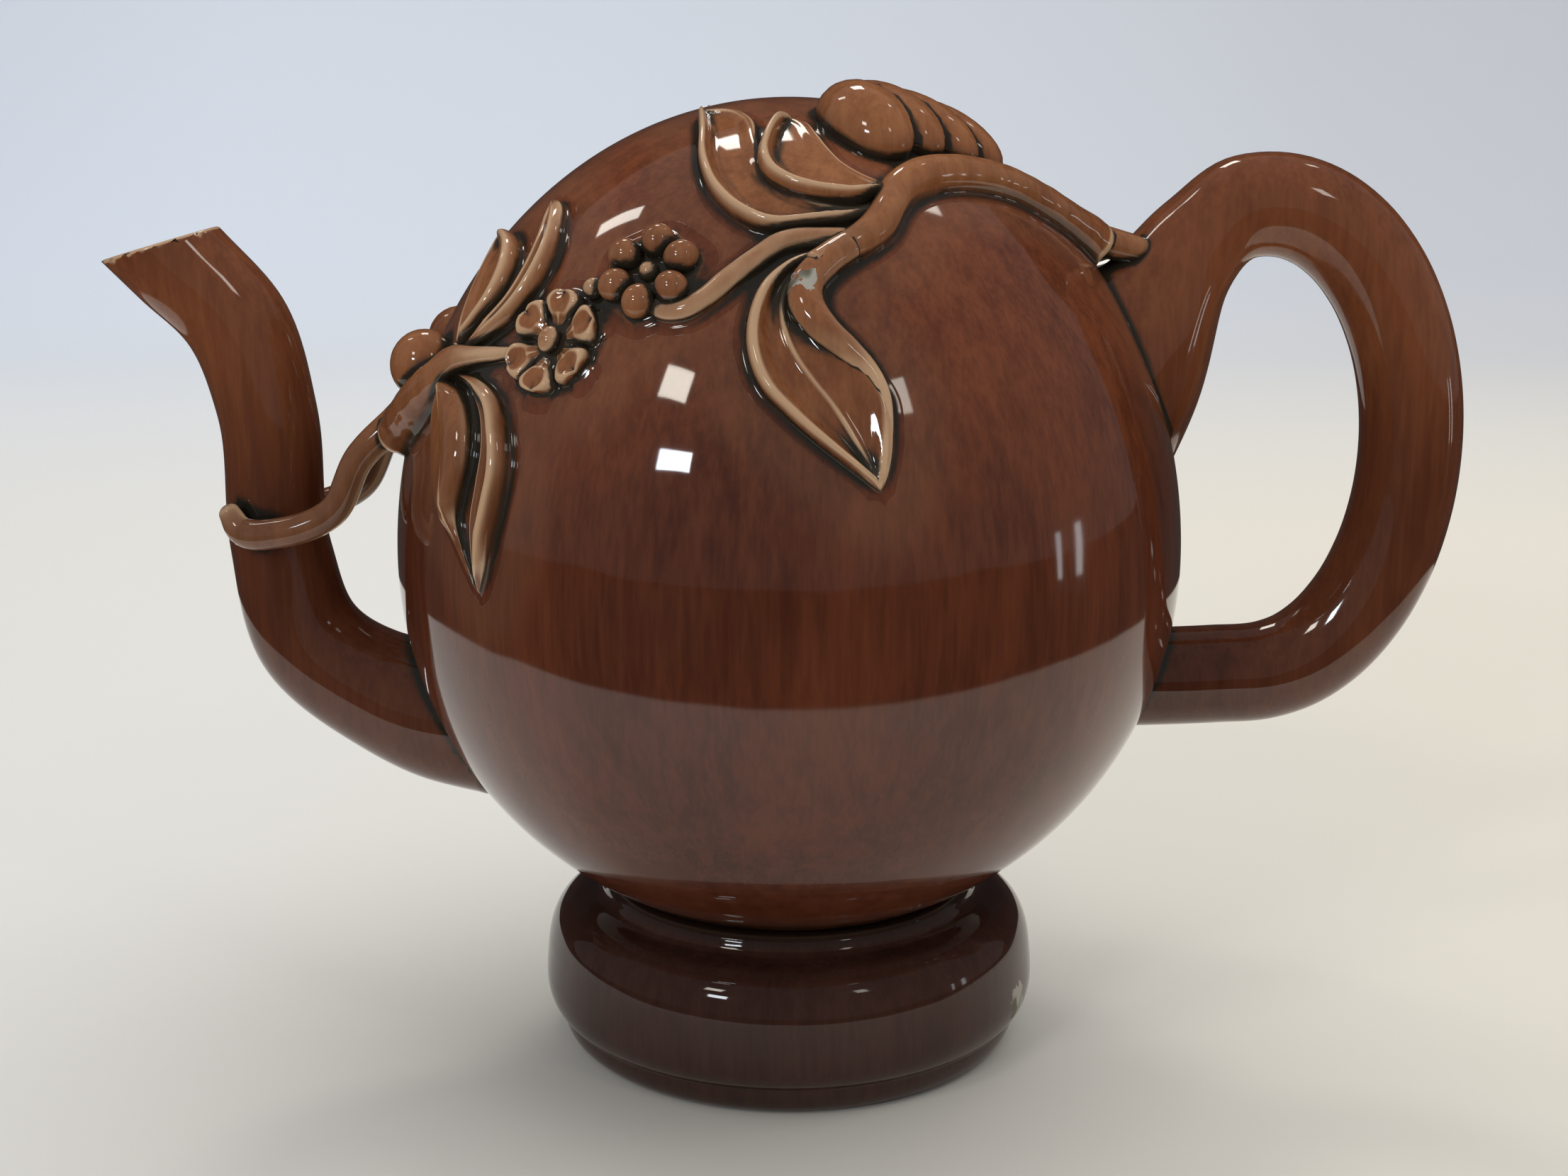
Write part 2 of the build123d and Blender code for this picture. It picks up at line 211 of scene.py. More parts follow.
foot = {
    "turns": 320,
    "rows": 110,
    "baseRadius": 34.6,
    "outside": [
        (35.3, 0.4), (36.3, 1.2), (36.9, 2.2), (37.2, 3.2), (37.3, 4), (37.3, 4.6), (37.8, 5.1), (38.6, 5.9),
        (39.3, 7.2), (39.7, 8.8), (39.8, 10.4), (39.7, 12.4), (39.5, 14.6), (39.2, 16.8), (38.6, 18.9),
        (37.7, 20.6), (36.4, 21.9), (34.9, 22.7), (33.4, 23), (32.2, 23.1), (31.2, 23.3), (30.5, 23.8),
        (30.1, 24.5), (29.8, 25.2), (29.2, 25.8), (28.2, 26), (27.2, 26),
    ],
    "inside": [(16.1, 26), (16.1, 18), (12, 18), (12, 12), (24, 12), (28, 0.4), (28.4, 0)],
}
outside = [(foot["baseRadius"] - 0.3, 0.0)] + foot["outside"]
smoothOutside = smoothLine([(r * mm, 0, z * mm) for r, z in outside], foot["rows"])[0]
footOutline = [(row[0] / mm, row[2] / mm) for row in smoothOutside] + foot["inside"]
settle(turned(footOutline, "footRing", foot["turns"]), "foot_ring")
print("body and foot turned")


# spout and handle: oval tubes through stations given as place, climb, thickness and width
def ovalTube(stations, steps, around, name, inset=0.0):
    line = smoothLine([(out * mm, 0, up * mm, *rest) for out, up, *rest in stations], steps)[0]
    rings = []
    for x, y, z, climb, thick, wide in line:
        heading = Vector((math.cos(math.radians(climb)), 0, math.sin(math.radians(climb))))
        across = Vector((0, 1, 0))
        upward = across.cross(heading)
        aside, above = across * (wide / 2 - inset), upward * (thick / 2 - inset)
        ring = []
        for step in range(around):
            angle = math.tau * step / around
            ring.append(Vector((x, y, z)) + (aside * math.cos(angle) + above * math.sin(angle)) * mm)
        rings.append(ring)
    rings.insert(0, [Vector(line[0][:3])] * around)
    rings.append([Vector(line[-1][:3])] * around)
    return skinOver(rings, name)


spout = {
    "wall": 1.7,
    "lip": 0.45,
    "steps": 90,
    "channelSteps": 60,
    "around": 64,
    "stations": [  # out from the pot's axis, height, climb, depth, width
        (-48.0, 52.0, 178, 25.2, 24.2),
        (-58.0, 53.6, 168, 22.4, 21.8),
        (-65.5, 56.5, 155, 19.5, 19.2),
        (-76.5, 65.0, 122, 17.55, 16.5),
        (-80.5, 80.0, 93, 15.6, 15.0),
        (-81.6, 102.0, 94, 15.3, 15.0),
        (-85.6, 115.5, 114, 16.2, 15.0),
        (-93.7, 124.5, 130, 16.5, 15.5),
        (-99.2, 130.5, 134, 17.0, 15.5),
    ],
    "mouth": (-95.2, 128.0),
    "mouthSlant": 16.3,
}


def spoutTube():  # an outside and a channel, cut off together at the mouth and joined by a rounded lip
    outside = ovalTube(spout["stations"], spout["steps"], spout["around"], "spoutTube")
    bore = spout["stations"][3:]
    channel = ovalTube(bore, spout["channelSteps"], spout["around"], "channel", spout["wall"])
    bm = bmesh.new()
    bm.from_mesh(channel.data)
    bmesh.ops.reverse_faces(bm, faces=bm.faces[:])
    bm.from_mesh(outside.data)
    for part in (channel, outside):
        mesh = part.data
        bpy.data.objects.remove(part)
        bpy.data.meshes.remove(mesh)
    slant = math.radians(spout["mouthSlant"])
    bmesh.ops.bisect_plane(
        bm, geom=bm.verts[:] + bm.edges[:] + bm.faces[:], dist=1e-7,
        plane_co=Vector((spout["mouth"][0], 0, spout["mouth"][1])) * mm,
        plane_no=Vector((-math.sin(slant), 0, math.cos(slant))), clear_outer=True,
    )
    rims = [edge for edge in bm.edges if edge.is_boundary]
    bmesh.ops.bridge_loops(bm, edges=rims)
    lip = spout["lip"] * mm
    bmesh.ops.bevel(bm, geom=rims, offset=lip, segments=3, profile=0.5, affect="EDGES", material=-1)
    return finishMesh(bm, "spoutTube", faceOut=False)


settle(spoutTube(), "spout")

handle = {
    "loopOut": 73.4,
    "loopHeight": 96.5,
    "halfLength": 24.0,
    "halfHeight": 37.0,
    "thick": 15.8,
    "wide": 15.0,
    "steps": 150,
    "around": 72,
    "turns": (-82, -72, -60, -45, -30, -15, 0, 15, 30, 45, 60, 70, 80, 90, 100),
    "ends": [  # out, height, climb, thickness, width
        (46.0, 58.5, 0, 15.8, 15.0),
        (54.0, 58.6, 1, 15.8, 15.0),
        (61.4, 58.8, 2, 15.8, 15.0),
        (68.0, 59.1, 4, 15.8, 15.0),
    ],
    "flare": [
        (62.8, 127.3, 215, 16.6, 16.5),
        (56.6, 114.5, 208, 28.0, 23.0),
        (49.0, 106.0, 203, 40.0, 30.0),
    ],
}


def loopHandle():
    stations = list(handle["ends"])
    long, tall = handle["halfLength"], handle["halfHeight"]
    for turn in handle["turns"]:
        angle = math.radians(turn)
        out, up = handle["loopOut"] + long * math.cos(angle), handle["loopHeight"] + tall * math.sin(angle)
        climb = math.degrees(math.atan2(tall * math.cos(angle), -long * math.sin(angle)))
        climb += 360 if climb < -90 else 0
        stations.append((out, up, climb, handle["thick"], handle["wide"]))
    return ovalTube(stations + handle["flare"], handle["steps"], handle["around"], "loopHandle")


settle(loopHandle(), "handle")
print("spout and handle shaped")


# the glaze's fillet where a sprig meets the pot: reach from its side in mm, share of its height
fillet = [
    (0.07, 0.6), (0.2, 0.3), (0.38, 0.13), (0.65, 0.06), (1, 0.035), (1.4, 0.02), (1.75, 0.01), (1.8, 0.004),
    (1.82, -0.3),  # goes into the clay
]


# round limbs that lie on the pot: bearing, rise, lift and radius at each point
def limbOver(points, name, around=18, spacing=0.6, flat=1.0, capStart=0.8, capEnd=0.8, lumps=0.05, seed=1.0):
    rows = [(*place, radius) for place, radius in points]
    count = max(10, int(smoothLine(rows, 8)[1] / mm / spacing))
    line = smoothLine(rows, count)[0]
    rings = []
    centres = [Vector(row[:3]) for row in line]
    for index, (centre, row) in enumerate(zip(centres, line)):
        ahead = (centres[min(index + 1, count - 1)] - centres[max(index - 1, 0)]).normalized()
        across = ahead.cross(outwardAt(centre)).normalized()
        rings.append((centre, ahead, across, across.cross(ahead), row[3] * mm))

    def ringAt(centre, across, upward, radius):
        height = heightOverPot(centre) * mm
        free = easing(height, 0.8 * radius, 1.1 * radius)
        low = math.asin(max(min(-height / max(radius, 1e-9), 0.0), -1.0))
        start = low + math.radians(24)
        ring = []
        for step in range(around):
            share = step / (around - 1)
            angle = start + (math.pi - 2 * start) * share
            point = across * math.cos(angle) + upward * math.sin(angle) * flat
            swell = 1 + lumps * noise.noise((centre + point * 2 * mm) / mm * 0.35 + Vector((seed * 7, 0, 0)))
            lying = centre + point * radius * swell
            angle = math.radians(-60) + math.radians(300) * share  # free of the pot, it is round
            point = across * math.cos(angle) + upward * math.sin(angle)
            ring.append(lying.lerp(centre + point * radius, free))
        sides = []
        for sign, heel in ((-1, ring[-1]), (1, ring[0])):
            high = max(heightOverPot(heel), 0.05)
            fan = []
            for step, (reach, rise) in enumerate(fillet):
                lying = ontoPot(heel + across * sign * reach * mm, high * rise if rise > 0 else rise)
                turn = math.radians(-60 - (step + 1) * 60 / (len(fillet) + 1))
                point = across * sign * math.cos(turn) + upward * math.sin(turn)
                fan.append(lying.lerp(centre + point * radius, free))
            sides.append(fan)
        return ring + sides[0] + sides[1][::-1]

    def capRing(ring, push, part):
        centre, ahead, across, upward, radius = ring
        angle = math.radians(part)
        spot = centre + ahead * radius * push * math.sin(angle)
        return ringAt(spot, across, upward, radius * math.cos(angle))

    shape = [capRing(rings[0], -capStart, part) for part in (90, 72, 54, 36, 18)]
    shape += [capRing(ring, 0.0, 0) for ring in rings]
    shape += [capRing(rings[-1], capEnd, part) for part in (18, 36, 54, 72, 90)]
    return skinOver(shape, name)


def along(course, side):  # course of bearing, rise, lift and radius
    return [(onPot(bearing, rise, side, lift), radius) for bearing, rise, lift, radius in course]


# leaves: two edges from base to tip, raised rims and a hollow between them
def leafOver(leftEdge, rightEdge, shape, name, rows=52, columns=30):
    tip = ontoPot((leftEdge[-1] + rightEdge[-1]) / 2)
    left, leftLength = smoothLine([tuple(point) for point in leftEdge[:-1] + [tip]], rows)
    right, rightLength = smoothLine([tuple(point) for point in rightEdge[:-1] + [tip]], rows)
    left, right = [Vector(point) for point in left], [Vector(point) for point in right]
    middles = [(one + other) / 2 for one, other in zip(left, right)]
    length = (leftLength + rightLength) / 2 / mm
    skirt = 0.75  # height of the blade's cut edge
    middle = shape.get("middle", 0.5)
    blunt = shape.get("blunt", shape["rim"])
    rings = []
    for row in range(rows):
        share = row / (rows - 1)
        one, other = left[row], right[row]
        width = (other - one).length / mm
        tipDrop = math.sqrt(max(1 - (1 - min((1 - share) * length / blunt, 1)) ** 2, 0))
        baseDrop = math.sqrt(max(1 - (1 - min(share * length / 1.2, 1)) ** 2, 0))
        ends = (0.25 + 0.75 * tipDrop) * (0.6 + 0.4 * baseDrop)
        rim = min(shape["rim"], 0.45 * width + 0.05)
        leftHigh, rightHigh = [min(shape[side] * ends, 0.45 + 0.5 * width) for side in ("left", "right")]
        lift = 1 - shape.get("open", 0.0) * (1 - easing(share, 0.1, 0.7))
        leftHigh, rightHigh = leftHigh * lift, rightHigh * lift
        valley = shape["valley"] * ends
        ring = []
        for column in range(columns + 1):  # over the top, from rim to rim
            spread = (1 - math.cos(math.pi * column / columns)) / 2
            spread = 0.55 * spread + 0.45 * column / columns
            fromEdge = min(spread, 1 - spread) * width
            dome = math.sqrt(max(1 - (1 - min(fromEdge / rim, 1)) ** 2, 0))
            high = leftHigh if spread < middle else rightHigh
            reach = spread / middle if spread < middle else (1 - spread) / (1 - middle)
            bowl = easing(reach * width * 0.5 - rim * 0.8, 0.0, max(width * shape.get("slope", 0.3), 0.4))
            top = high + (valley - high) * bowl * easing(width, 1.2, 3.5)
            crease = shape.get("rib", 0.0) * math.exp(-((spread - middle) * width / 0.4) ** 2)
            crease *= easing(width, 1.2, 3.0)
            ring.append(ontoPot(one.lerp(other, spread), skirt * ends + (top - skirt * ends + crease) * dome))
        ahead = (middles[min(row + 1, rows - 1)] - middles[max(row - 1, 0)]).normalized()
        across = ahead.cross(outwardAt(middles[row])).normalized()
        facing = 1 if across.dot(right[rows // 2] - left[rows // 2]) > 0 else -1
        toTip = 1 - easing((1 - share) * length, 0.0, 1.6)
        for edge, sign in ((right, 1), (left, -1)):
            aside = (edge[row] - middles[row]) / mm + across * sign * facing * 0.4
            aside = (aside.normalized() * (1 - toTip) + ahead * toTip).normalized()
            fan = [
                ontoPot(edge[row] + aside * reach * mm, skirt * ends * rise if rise > 0 else rise)
                for reach, rise in fillet
            ]
            ring += fan if edge is right else fan[::-1]
        rings.append(ring)
    rings.insert(0, [ontoPot(middles[0], -1.2)] * len(rings[0]))
    return skinOver(rings, name)


# a low pad of pooled glaze under a cluster
def padOver(centre, reachAt, high, name, around=96):
    shares = (0.3, 0.55, 0.75, 0.88, 0.95, 1.0)
    steps = [(share, 0.0, max(high * math.sqrt(1 - share ** 5), 0.05)) for share in shares]
    steps += [(1.0, more, 0.75 * rise if rise > 0 else rise) for more, rise in fillet[3:]]
    rings = [[ontoPot(centre, high)] * around]
    for share, more, lift in steps:
        ring = []
        for step in range(around):
            angle = math.tau * step / around
            reach = reachAt(angle) * share + more
            spot = localPlace(centre, outwardAt(centre), reach * math.cos(angle), reach * math.sin(angle))
            ring.append(ontoPot(spot, lift))
        rings.append(ring)
    rings.append([ontoPot(centre, -0.8)] * around)
    return skinOver(rings, name)


def edgeOf(places, side):
    return [onPot(bearing, rise, side) for bearing, rise in places]


def ballOver(centre, radius, outward, name, squash=1.0, long=1.0, heading=None):
    bm = bmesh.new()
    bmesh.ops.create_uvsphere(bm, u_segments=28, v_segments=18, radius=1.0)
    ahead = heading if heading else outward.orthogonal()
    ahead = (ahead - outward * ahead.dot(outward)).normalized()
    across = outward.cross(ahead)
    turn = Matrix((ahead, across, outward)).transposed()
    sizes = Matrix.Diagonal((radius * long * mm, radius * mm, radius * squash * mm))
    bmesh.ops.transform(bm, matrix=Matrix.Translation(centre) @ (turn @ sizes).to_4x4(), verts=bm.verts[:])
    return finishMesh(bm, name)


branches = {
    "branch": [  # bearing, rise, lift, radius
        (7.5, 42.6, 1.6, 3.5), (10.5, 44.6, 1.6, 3), (15, 47.2, 1.4, 2.55), (22, 50.6, 1.3, 2.45),
        (30, 53.9, 1.3, 2.4), (40, 56, 1.3, 2.5), (50, 56.7, 1.3, 2.6), (60, 55.9, 1.3, 2.7),
        (66, 54, 1.3, 2.5), (69.5, 51.6, 1.2, 2.3), (73, 48.6, 1.2, 2.4), (77.5, 46.2, 1.1, 2.2),
        (82, 44.6, 1.1, 1.9), (85.5, 42.6, 1.6, 1.9),
    ],
    "handleTwig": [(8, 44, 1, 2.5), (6, 40.6, 4, 2.3), (4, 37.2, 7.4, 2.2), (2, 34.2, 10.6, 2.3)],
    "berryStem": [
        (77, 46.4, 0.7, 1.6), (84, 46.6, 0.8, 1.6), (91, 46.2, 0.8, 1.55), (96, 43.6, 0.8, 1.5),
        (100, 41, 0.8, 1.5), (103.5, 38.4, 0.7, 1.5), (107, 36.8, 0.6, 1.5), (110.5, 36.9, 0.4, 1.4),
        (113.5, 38.2, 0.1, 1.1),
    ],
    "spoutBranch": [
        (168, 16.5, 1.6, 3.3), (164, 18.6, 1.6, 3.2), (159, 21.6, 1.6, 3), (153.5, 25.2, 1.5, 2.6),
        (149, 28, 1.2, 2.1), (145, 28.9, 0.9, 1.5), (140, 29.6, 0.6, 1.1), (136, 30.2, 0.3, 0.9),
    ],
}
leaves = {
    "draped": {
        "left": [
            (82, 46), (89.3, 43.7), (94.4, 40.4), (96.3, 36.3), (96.3, 32.3), (94.3, 28), (90.4, 24.5),
            (85.9, 21.2), (81.5, 18.2), (78.6, 16.2),
        ],
        "right": [
            (82, 45.6), (85, 42.4), (86.6, 39.6), (86.6, 37.4), (84.6, 34.4), (81.6, 31.9), (78.6, 29.6),
            (76.6, 26.6), (76.5, 22), (77.5, 18), (78.3, 16),
        ],
        "shape": {
            "rim": 1.35, "left": 2.6, "right": 1.9, "valley": 0.8, "slope": 0.24, "rib": 0.45, "middle": 0.46,
        },
        "roll": [
            (79.8, 45.2, 1.3, 2), (84.6, 42.6, 1.5, 2.1), (87.4, 40, 1.5, 2.3), (87.6, 37.6, 1.5, 2.4),
            (85.2, 34.4, 1.4, 2.1), (82, 32, 1.3, 1.75), (79.2, 29.7, 1.2, 1.3), (77.5, 27.1, 1.1, 1),
            (77.1, 23.4, 0.9, 0.75), (77.6, 19.6, 0.6, 0.5),
        ],
    },
    "upper": {
        "left": [
            (69.1, 52.6), (73.1, 50.6), (78.5, 49.2), (86.7, 48.2), (93.8, 47.8), (100, 49.6), (106.1, 53),
            (112.3, 58.2), (120, 65.6), (138, 73.2),
        ],
        "right": [
            (69.2, 53), (76.4, 51.8), (83.5, 52.8), (90.6, 55.5), (96.6, 60), (100, 65.3), (106.7, 71.5),
            (121.9, 74.5), (138, 73.4),
        ],
        "shape": {"rim": 1.3, "left": 2.6, "right": 1.2, "valley": 0.7, "slope": 0.2},
    },
    "rolled": {
        "left": [
            (70.2, 53), (76.5, 51.8), (83.6, 52.2), (90.6, 53.6), (95.4, 55.8), (98, 58.8), (98.4, 62.5),
            (97.2, 66.9), (93.6, 70.6), (89, 71),
        ],
        "right": [(68.1, 55.6), (72.3, 57.3), (76.5, 59.9), (79, 63), (81.2, 66.7), (84, 69.9), (89, 71.2)],
        "shape": {"rim": 1.5, "left": 3.4, "right": 1, "valley": 0.8, "slope": 0.16, "middle": 0.55},
    },
    "side": {
        "left": [(151.5, 29.5), (154.2, 32.2), (156.6, 35.6), (159.4, 39.6), (162.6, 43.1), (165, 45)],
        "right": [
            (149.1, 29.9), (146.4, 33), (144.8, 36.4), (145.6, 40.2), (149.6, 43.6), (157.6, 45.4),
            (165, 45.2),
        ],
        "shape": {"rim": 1.3, "left": 1.8, "right": 2.9, "valley": 1.2, "slope": 0.35, "middle": 0.4},
    },
    "crescent": {
        "left": [
            (149.4, 30), (145.3, 33.4), (142.4, 36.9), (142, 40.6), (143.6, 44.6), (148.2, 48.8),
            (155, 51.6),
        ],
        "right": [
            (148, 29.2), (143, 31.6), (138.4, 34.4), (135.9, 38.4), (136.2, 42.8), (139.6, 47.2),
            (146, 50.8), (155, 52),
        ],
        "shape": {"rim": 1.5, "left": 2.2, "right": 3.4, "valley": 1.9, "slope": 0.3},
    },
    "hangingLeft": {
        "left": [
            (152.4, 25.4), (151.4, 21.1), (148.8, 17.1), (146.3, 13.3), (143.8, 10.3), (140.4, 7.9),
            (137.4, 5.2), (134.6, 2.2),
        ],
        "right": [
            (149.4, 25.4), (144.1, 24.1), (140.2, 20.9), (138.8, 17), (139.4, 13.2), (139.6, 10),
            (137.6, 6.6), (134.6, 2.2),
        ],
        "shape": {"rim": 2.6, "left": 2.2, "right": 3, "valley": 2.7, "slope": 0.4},
    },
    "hangingRight": {
        "left": [
            (148.4, 26.2), (142.6, 24.9), (138.6, 22.3), (136.6, 18.6), (136.4, 14.4), (136.6, 10.2),
            (135.8, 6.4), (134.2, 2),
        ],
        "right": [
            (147.4, 26.6), (141, 26.3), (135.2, 24.4), (132, 20.9), (130.6, 17), (130.9, 13.1),
            (131.8, 8.8), (132.7, 5.2), (134.2, 2),
        ],
        "shape": {"rim": 1.4, "left": 0.7, "right": 3, "valley": 1.2, "slope": 0.35, "middle": 0.4},
    },
}
cluster = {"place": (114, 41.5), "ring": 4.75, "radius": 2.35, "count": 6, "start": 30, "lift": 1.3}
flower = {
    "place": (128, 32),
    "petals": (30, 92, 148, 214, 268, 328),
    "inner": 1.5,
    "length": 7.3,
    "width": 6.1,
    # shares of the length and the width
    "outline": ((0.1, 0.15), (0.34, 0.46), (0.56, 0.84), (0.76, 1), (0.91, 0.84), (1, 0.44), (1.02, 0.03)),
    "shape": {
        "rim": 1.1, "left": 2.2, "right": 2.2, "valley": 1.35, "slope": 0.45, "blunt": 1.1, "open": 0.45,
    },
}
beads = {
    "BerryHeart": {"place": (114, 41.5), "lift": 0.9, "radius": 1.5},
    "Bud": {"place": (123.5, 39.0), "lift": 0.8, "radius": 1.5},
    "FlowerBoss": {"place": (128, 32), "lift": 1.4, "radius": 1.52, "squash": 0.9, "long": 1.25},
    "SideFruit": {"place": (162, 26), "lift": 1.8, "radius": 5.2, "squash": 0.95},
}
spoutTwig = {
    "start": (169, 19),
    "lift": 1.2,
    "bow": (-1.2, 0.5, 1.0),
    "sag": (1.5, 1.6, -6.0),
    "dip": (0, 0.8, -1.6),
    "end": (-84.6, 8.9, 84.6),
    "curl": (-86.2, 8.2, 87.0),
    "radii": (2.6, 2.3, 2.3, 2.35, 2.2, 1.7),
}
lobes = [  # bearing, rise, radius, half length
    (60, 69.5, 6.3, 9.6),
    (45, 70.5, 5.5, 10.4),
    (33, 68.5, 5.0, 10.4),
    (23, 66.0, 4.5, 9.8),
]


def localPlace(centre, outward, sideways, upward):  # a point beside another, in mm on the skin
    level = Vector((-outward.y, outward.x, 0)).normalized()
    steep = outward.cross(level)
    return ontoPot(centre + (level * sideways + steep * upward) * mm)


def sprayOn(side, word):
    def named(base):
        return f"{word}{base}"

    def file(piece, node):
        settle(piece, f"{word}_{node}")

    def toSide(x, y, z):
        return Vector((x, side * y, z)) * mm

    def limb(key, node, finish, **shape):
        file(limbOver(along(branches[key], side), named(key[0].upper() + key[1:]), **shape), node)

    def blade(key):
        data = leaves[key]
        return leafOver(edgeOf(data["left"], side), edgeOf(data["right"], side), data["shape"], named(key))

    def leaf(key, node, extra=()):
        parts = [blade(key), *extra]
        if "roll" in leaves[key]:
            parts.append(limbOver(along(leaves[key]["roll"], side), named(key + "Roll"), flat=0.9, seed=5.0))
        piece = joinInto(parts, named(key[0].upper() + key[1:] + "Leaf")) if len(parts) > 1 else parts[0]
        file(piece, node)

    def bead(key, node):
        data = beads[key]
        skin = onPot(*data["place"], side)
        outward = outwardAt(skin)
        heading = Vector((0, 0, 1)) if "long" in data else None
        ball = ballOver(
            skin + outward * data["lift"] * mm, data["radius"], outward, named(key),
            data.get("squash", 1.0), data.get("long", 1.0), heading,
        )
        file(ball, node)

    limb("branch", "main_branch", "body_glaze", seed=1.3, capStart=0.12, lumps=0.03)
    limb("handleTwig", "handle_twig", "body_glaze", seed=2.1)
    limb("berryStem", "berry_stem", "leaf_glaze", seed=3.2, flat=0.9)
    limb("spoutBranch", "spout_branch", "body_glaze", seed=4.4, capStart=0.15, lumps=0.07)
    for key in ("draped", "upper", "rolled", "side", "crescent"):
        leaf(key, key + "_leaf")
    leaf("hangingLeft", "hanging_leaf", (blade("hangingRight"),))

    centre = onPot(*cluster["place"], side)
    outward = outwardAt(centre)
    balls = []
    for step in range(cluster["count"]):
        angle = math.radians(cluster["start"] + 360 * step / cluster["count"])
        sideways, upward = cluster["ring"] * math.cos(angle), cluster["ring"] * math.sin(angle)
        skin = localPlace(centre, outward, sideways, upward)
        toHeart = (centre - skin).normalized()
        spot = skin + outwardAt(skin) * cluster["lift"] * mm
        balls.append(ballOver(spot, cluster["radius"], outwardAt(skin), named("berry"), 1.0, 1.06, toHeart))

    def berryReach(angle):
        lobe = math.cos(cluster["count"] / 2 * (angle - math.radians(cluster["start"])))
        return cluster["ring"] + cluster["radius"] * (0.7 + 0.3 * lobe * lobe) + 0.7

    balls.append(padOver(centre, berryReach, 0.75, named("berryPad")))
    file(joinInto(balls, named("Berries")), "berries")
    bead("BerryHeart", "berry_heart")
    bead("Bud", "bud")

    centre = onPot(*flower["place"], side)
    outward = outwardAt(centre)
    petals = []
    for turn in flower["petals"]:
        angle = math.radians(turn)
        ahead = Vector((math.cos(angle), math.sin(angle)))
        beside = Vector((-ahead.y, ahead.x))
        edges = []
        for sign in (-1, 1):
            edge = []
            for reach, spread in flower["outline"]:
                spot = ahead * (flower["inner"] + (flower["length"] - flower["inner"]) * reach)
                spot = spot + beside * sign * spread * flower["width"] / 2
                edge.append(localPlace(centre, outward, spot.x * -side, spot.y))
            edges.append(edge)
        petals.append(leafOver(edges[0], edges[1], flower["shape"], named("petal"), rows=22, columns=20))

    def petalReach(angle):  # the pad follows the petals out
        seen = 180 - math.degrees(angle) if side > 0 else math.degrees(angle)
        nearest = min(abs((seen - turn + 180) % 360 - 180) for turn in flower["petals"])
        return 3.2 + (flower["length"] - 2.2) * (1 - easing(nearest, 12, 34))

    petals.append(padOver(centre, petalReach, 0.6, named("petalPad")))
    file(joinInto(petals, named("Flower")), "flower")
    bead("FlowerBoss", "flower_boss")
    bead("SideFruit", "side_fruit")

    start = onPot(*spoutTwig["start"], side, spoutTwig["lift"])
    end = toSide(*spoutTwig["end"])
    low = (start + end) / 2 + toSide(*spoutTwig["sag"])
    bowed = start.lerp(low, 0.5) + toSide(*spoutTwig["bow"])
    dipped = low.lerp(end, 0.55) + toSide(*spoutTwig["dip"])
    places = (start, bowed, low, dipped, end, toSide(*spoutTwig["curl"]))
    twig = limbOver(list(zip(places, spoutTwig["radii"])), named("SpoutTwig"), seed=6.1)
    file(twig, "spout_twig")


sprayOn(front, "front")
sprayOn(back, "back")

crownParts = []
for bearing, rise, radius, halfLength in lobes:
    skin = onPot(bearing, rise, front)
    outward = outwardAt(skin)
    level = Vector((-outward.y, outward.x, 0)).normalized()
    downhill = level.cross(outward)
    crownParts.append(ballOver(skin, radius, outward, "lobe", 1.0, halfLength / radius, downhill))
settle(joinInto(crownParts, "crownFruit"), "crown_fruit")
print("sprays laid on")


# glaze runs off sharp edges and pools in corners, and painted shade is laid in the corners too: both are
# measured on the clay
glazeReach = {"rays": 3.2, "halo": 12.0, "near": 4.0}  # mm
neckShadePool = {  # painted shade under the belly between body and foot, where the glaze also gathers, as heights that it fades in over
    "body_upper_shell": (0.034, 0.028),
    "body_lower_shell": (0.034, 0.028),
    "foot_ring": (0.0236, 0.0250),
}


def clayTree(chosen):
    verts, faces = [], []
    for piece in chosen:
        base = len(verts)
        verts += [vert.co.copy() for vert in piece.data.vertices]
        faces += [[base + corner for corner in face.vertices] for face in piece.data.polygons]
    return BVHTree.FromPolygons(verts, faces)


def fanOfRays():
    rays = []
    for ring, count in ((0.35, 4), (0.75, 7), (0.95, 7)):
        for step in range(count):
            angle = math.tau * (step + ring) / count
            rays.append(Vector((ring * math.cos(angle), ring * math.sin(angle), math.sqrt(1 - ring * ring))))
    return rays


# the share sets the pooled glaze and the painted shade in corners and under the sprigs
def shareHit(tree, place, normal, rays):  # how closed in a place is
    one = normal.orthogonal().normalized()
    two = normal.cross(one)
    start = place + normal * 0.05 * mm
    reach = glazeReach["rays"] * mm
    poolShade = 0.0
    for ray in rays:
        hit = tree.ray_cast(start, one * ray.x + two * ray.y + normal * ray.z, reach)
        if hit[0] is not None:
            poolShade += 1 - hit[3] / reach * 0.7
    return poolShade / len(rays)


